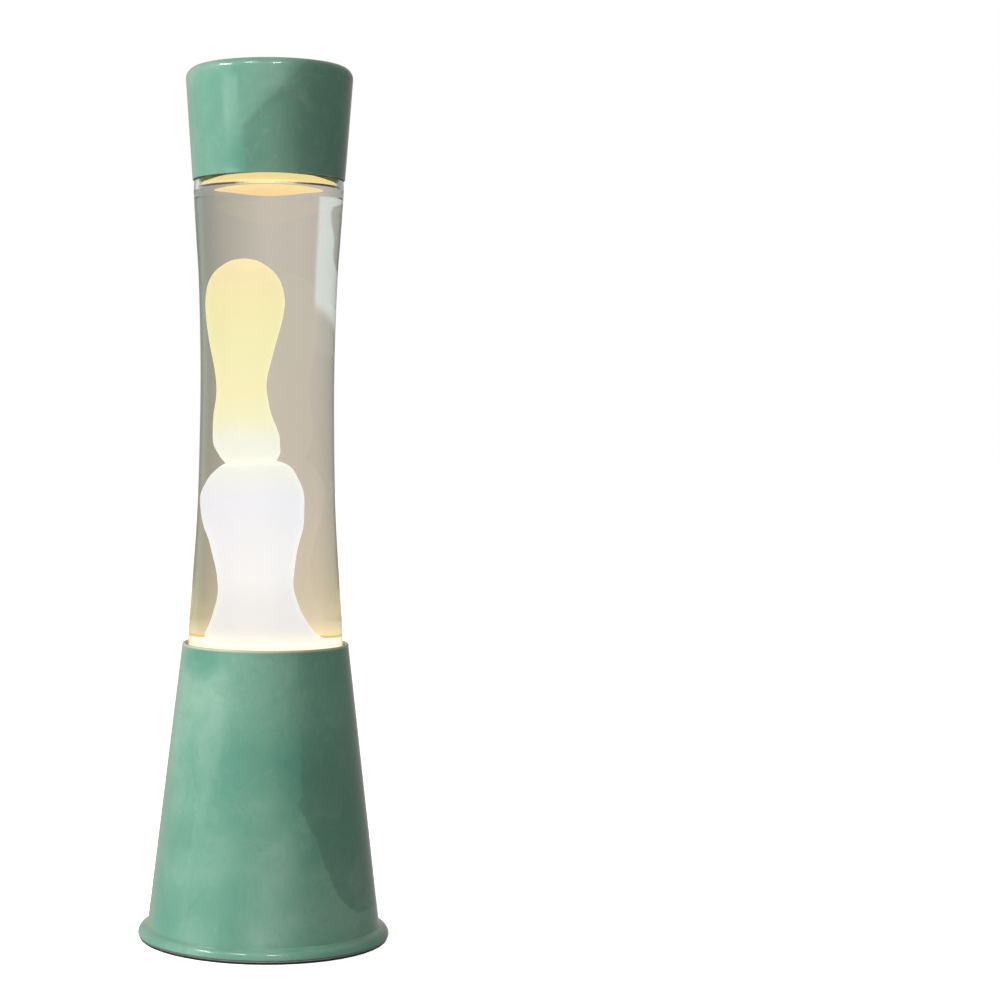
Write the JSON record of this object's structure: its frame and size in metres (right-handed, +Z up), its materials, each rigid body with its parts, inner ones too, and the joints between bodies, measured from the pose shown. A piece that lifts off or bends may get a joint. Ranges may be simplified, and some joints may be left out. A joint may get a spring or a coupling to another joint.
{
  "type": "lava lamp",
  "caption": "Table lamp with a flared marbled metal base, a waisted glass bottle of liquid and rising wax, a matching lift-off cap and a small reflector bulb beneath",
  "frame": {"origin": "centre of the foot, on the surface that the lamp stands on", "axes": "+Z up the lamp's axis, +Y to the back, where the cable enters, +X to the right as seen from the front"},
  "size_m": [0.1132, 0.1132, 0.3897],
  "materials": {
    "marbled_enamel": "gloss",
    "zinc_steel": "satin",
    "black_rubber": "matte",
    "silicone": "satin",
    "phenolic": "satin",
    "nylon": "satin",
    "brown_pvc": "satin",
    "blue_pvc": "satin",
    "brass": "satin",
    "solder": "satin",
    "tungsten": "satin",
    "bulb_glass": "gloss",
    "clear_glass": "polished",
    "lamp_liquid": "gloss",
    "lamp_wax": "satin"
  },
  "bodies": {
    "base": {"foot_ring": "black_rubber", "base_plate": "zinc_steel", "base_shell": "marbled_enamel", "cable_grommet": "black_rubber", "seat_ring": "zinc_steel", "seat_gasket": "silicone", "seat_post_1": "zinc_steel", "seat_post_2": "zinc_steel", "seat_post_3": "zinc_steel", "post_screw_1": "zinc_steel", "post_screw_2": "zinc_steel", "post_screw_3": "zinc_steel", "holder_bracket": "zinc_steel", "bracket_screw_1": "zinc_steel", "bracket_screw_2": "zinc_steel", "holder_nipple": "brass", "holder_nut": "zinc_steel", "lampholder_body": "phenolic", "lampholder_skirt": "phenolic", "thread_shell": "brass", "centre_contact": "brass", "terminal_block": "nylon", "terminal_screw_1": "brass", "terminal_screw_2": "brass", "lead_live": "brown_pvc", "lead_neutral": "blue_pvc"},
    "bulb_tip": {"bulb_tip_contact": "solder"},
    "bulb": {"bulb_insulator": "phenolic", "bulb_screw_cap": "brass", "bulb_envelope": "bulb_glass", "bulb_stem": "clear_glass", "bulb_lead_1": "zinc_steel", "bulb_lead_2": "zinc_steel", "bulb_filament": "tungsten"},
    "bottle": {"bottle_glass": "clear_glass", "lamp_liquid": "lamp_liquid", "wax_column": "lamp_wax", "wax_top_pool": "lamp_wax", "heat_coil": "zinc_steel", "closure_seal": "silicone", "crown_closure": "zinc_steel"},
    "wax": {"wax_blob": "lamp_wax"},
    "cap": {"cap_shell": "marbled_enamel", "cap_pad_ring": "black_rubber"}
  },
  "joints": [
    {"name": "bottle_lift", "type": "slide", "parent": "base", "child": "bottle", "axis": [0, 0, 1], "range_m": [0, 0.06]},
    {"name": "cap_lift", "type": "slide", "parent": "bottle", "child": "cap", "axis": [0, 0, 1], "range_m": [0, 0.06]},
    {"name": "wax_rise", "type": "slide", "parent": "bottle", "child": "wax", "axis": [0, 0, 1], "range_m": [0, 0.02], "deforming": ["lamp_liquid"]},
    {"name": "bulb_climb", "type": "slide", "parent": "base", "child": "bulb_tip", "axis": [0, 0, 1], "range_m": [0, 0.0085]},
    {"name": "bulb_turn", "type": "hinge", "parent": "bulb_tip", "child": "bulb", "pos_m": [0, 0, 0.03], "axis": [0, 0, 1], "range_deg": [0, 1080]}
  ],
  "couplings": [
    {"joint": "bulb_climb", "follows": "bulb_turn", "m_per_rad": 0.00044882}
  ]
}
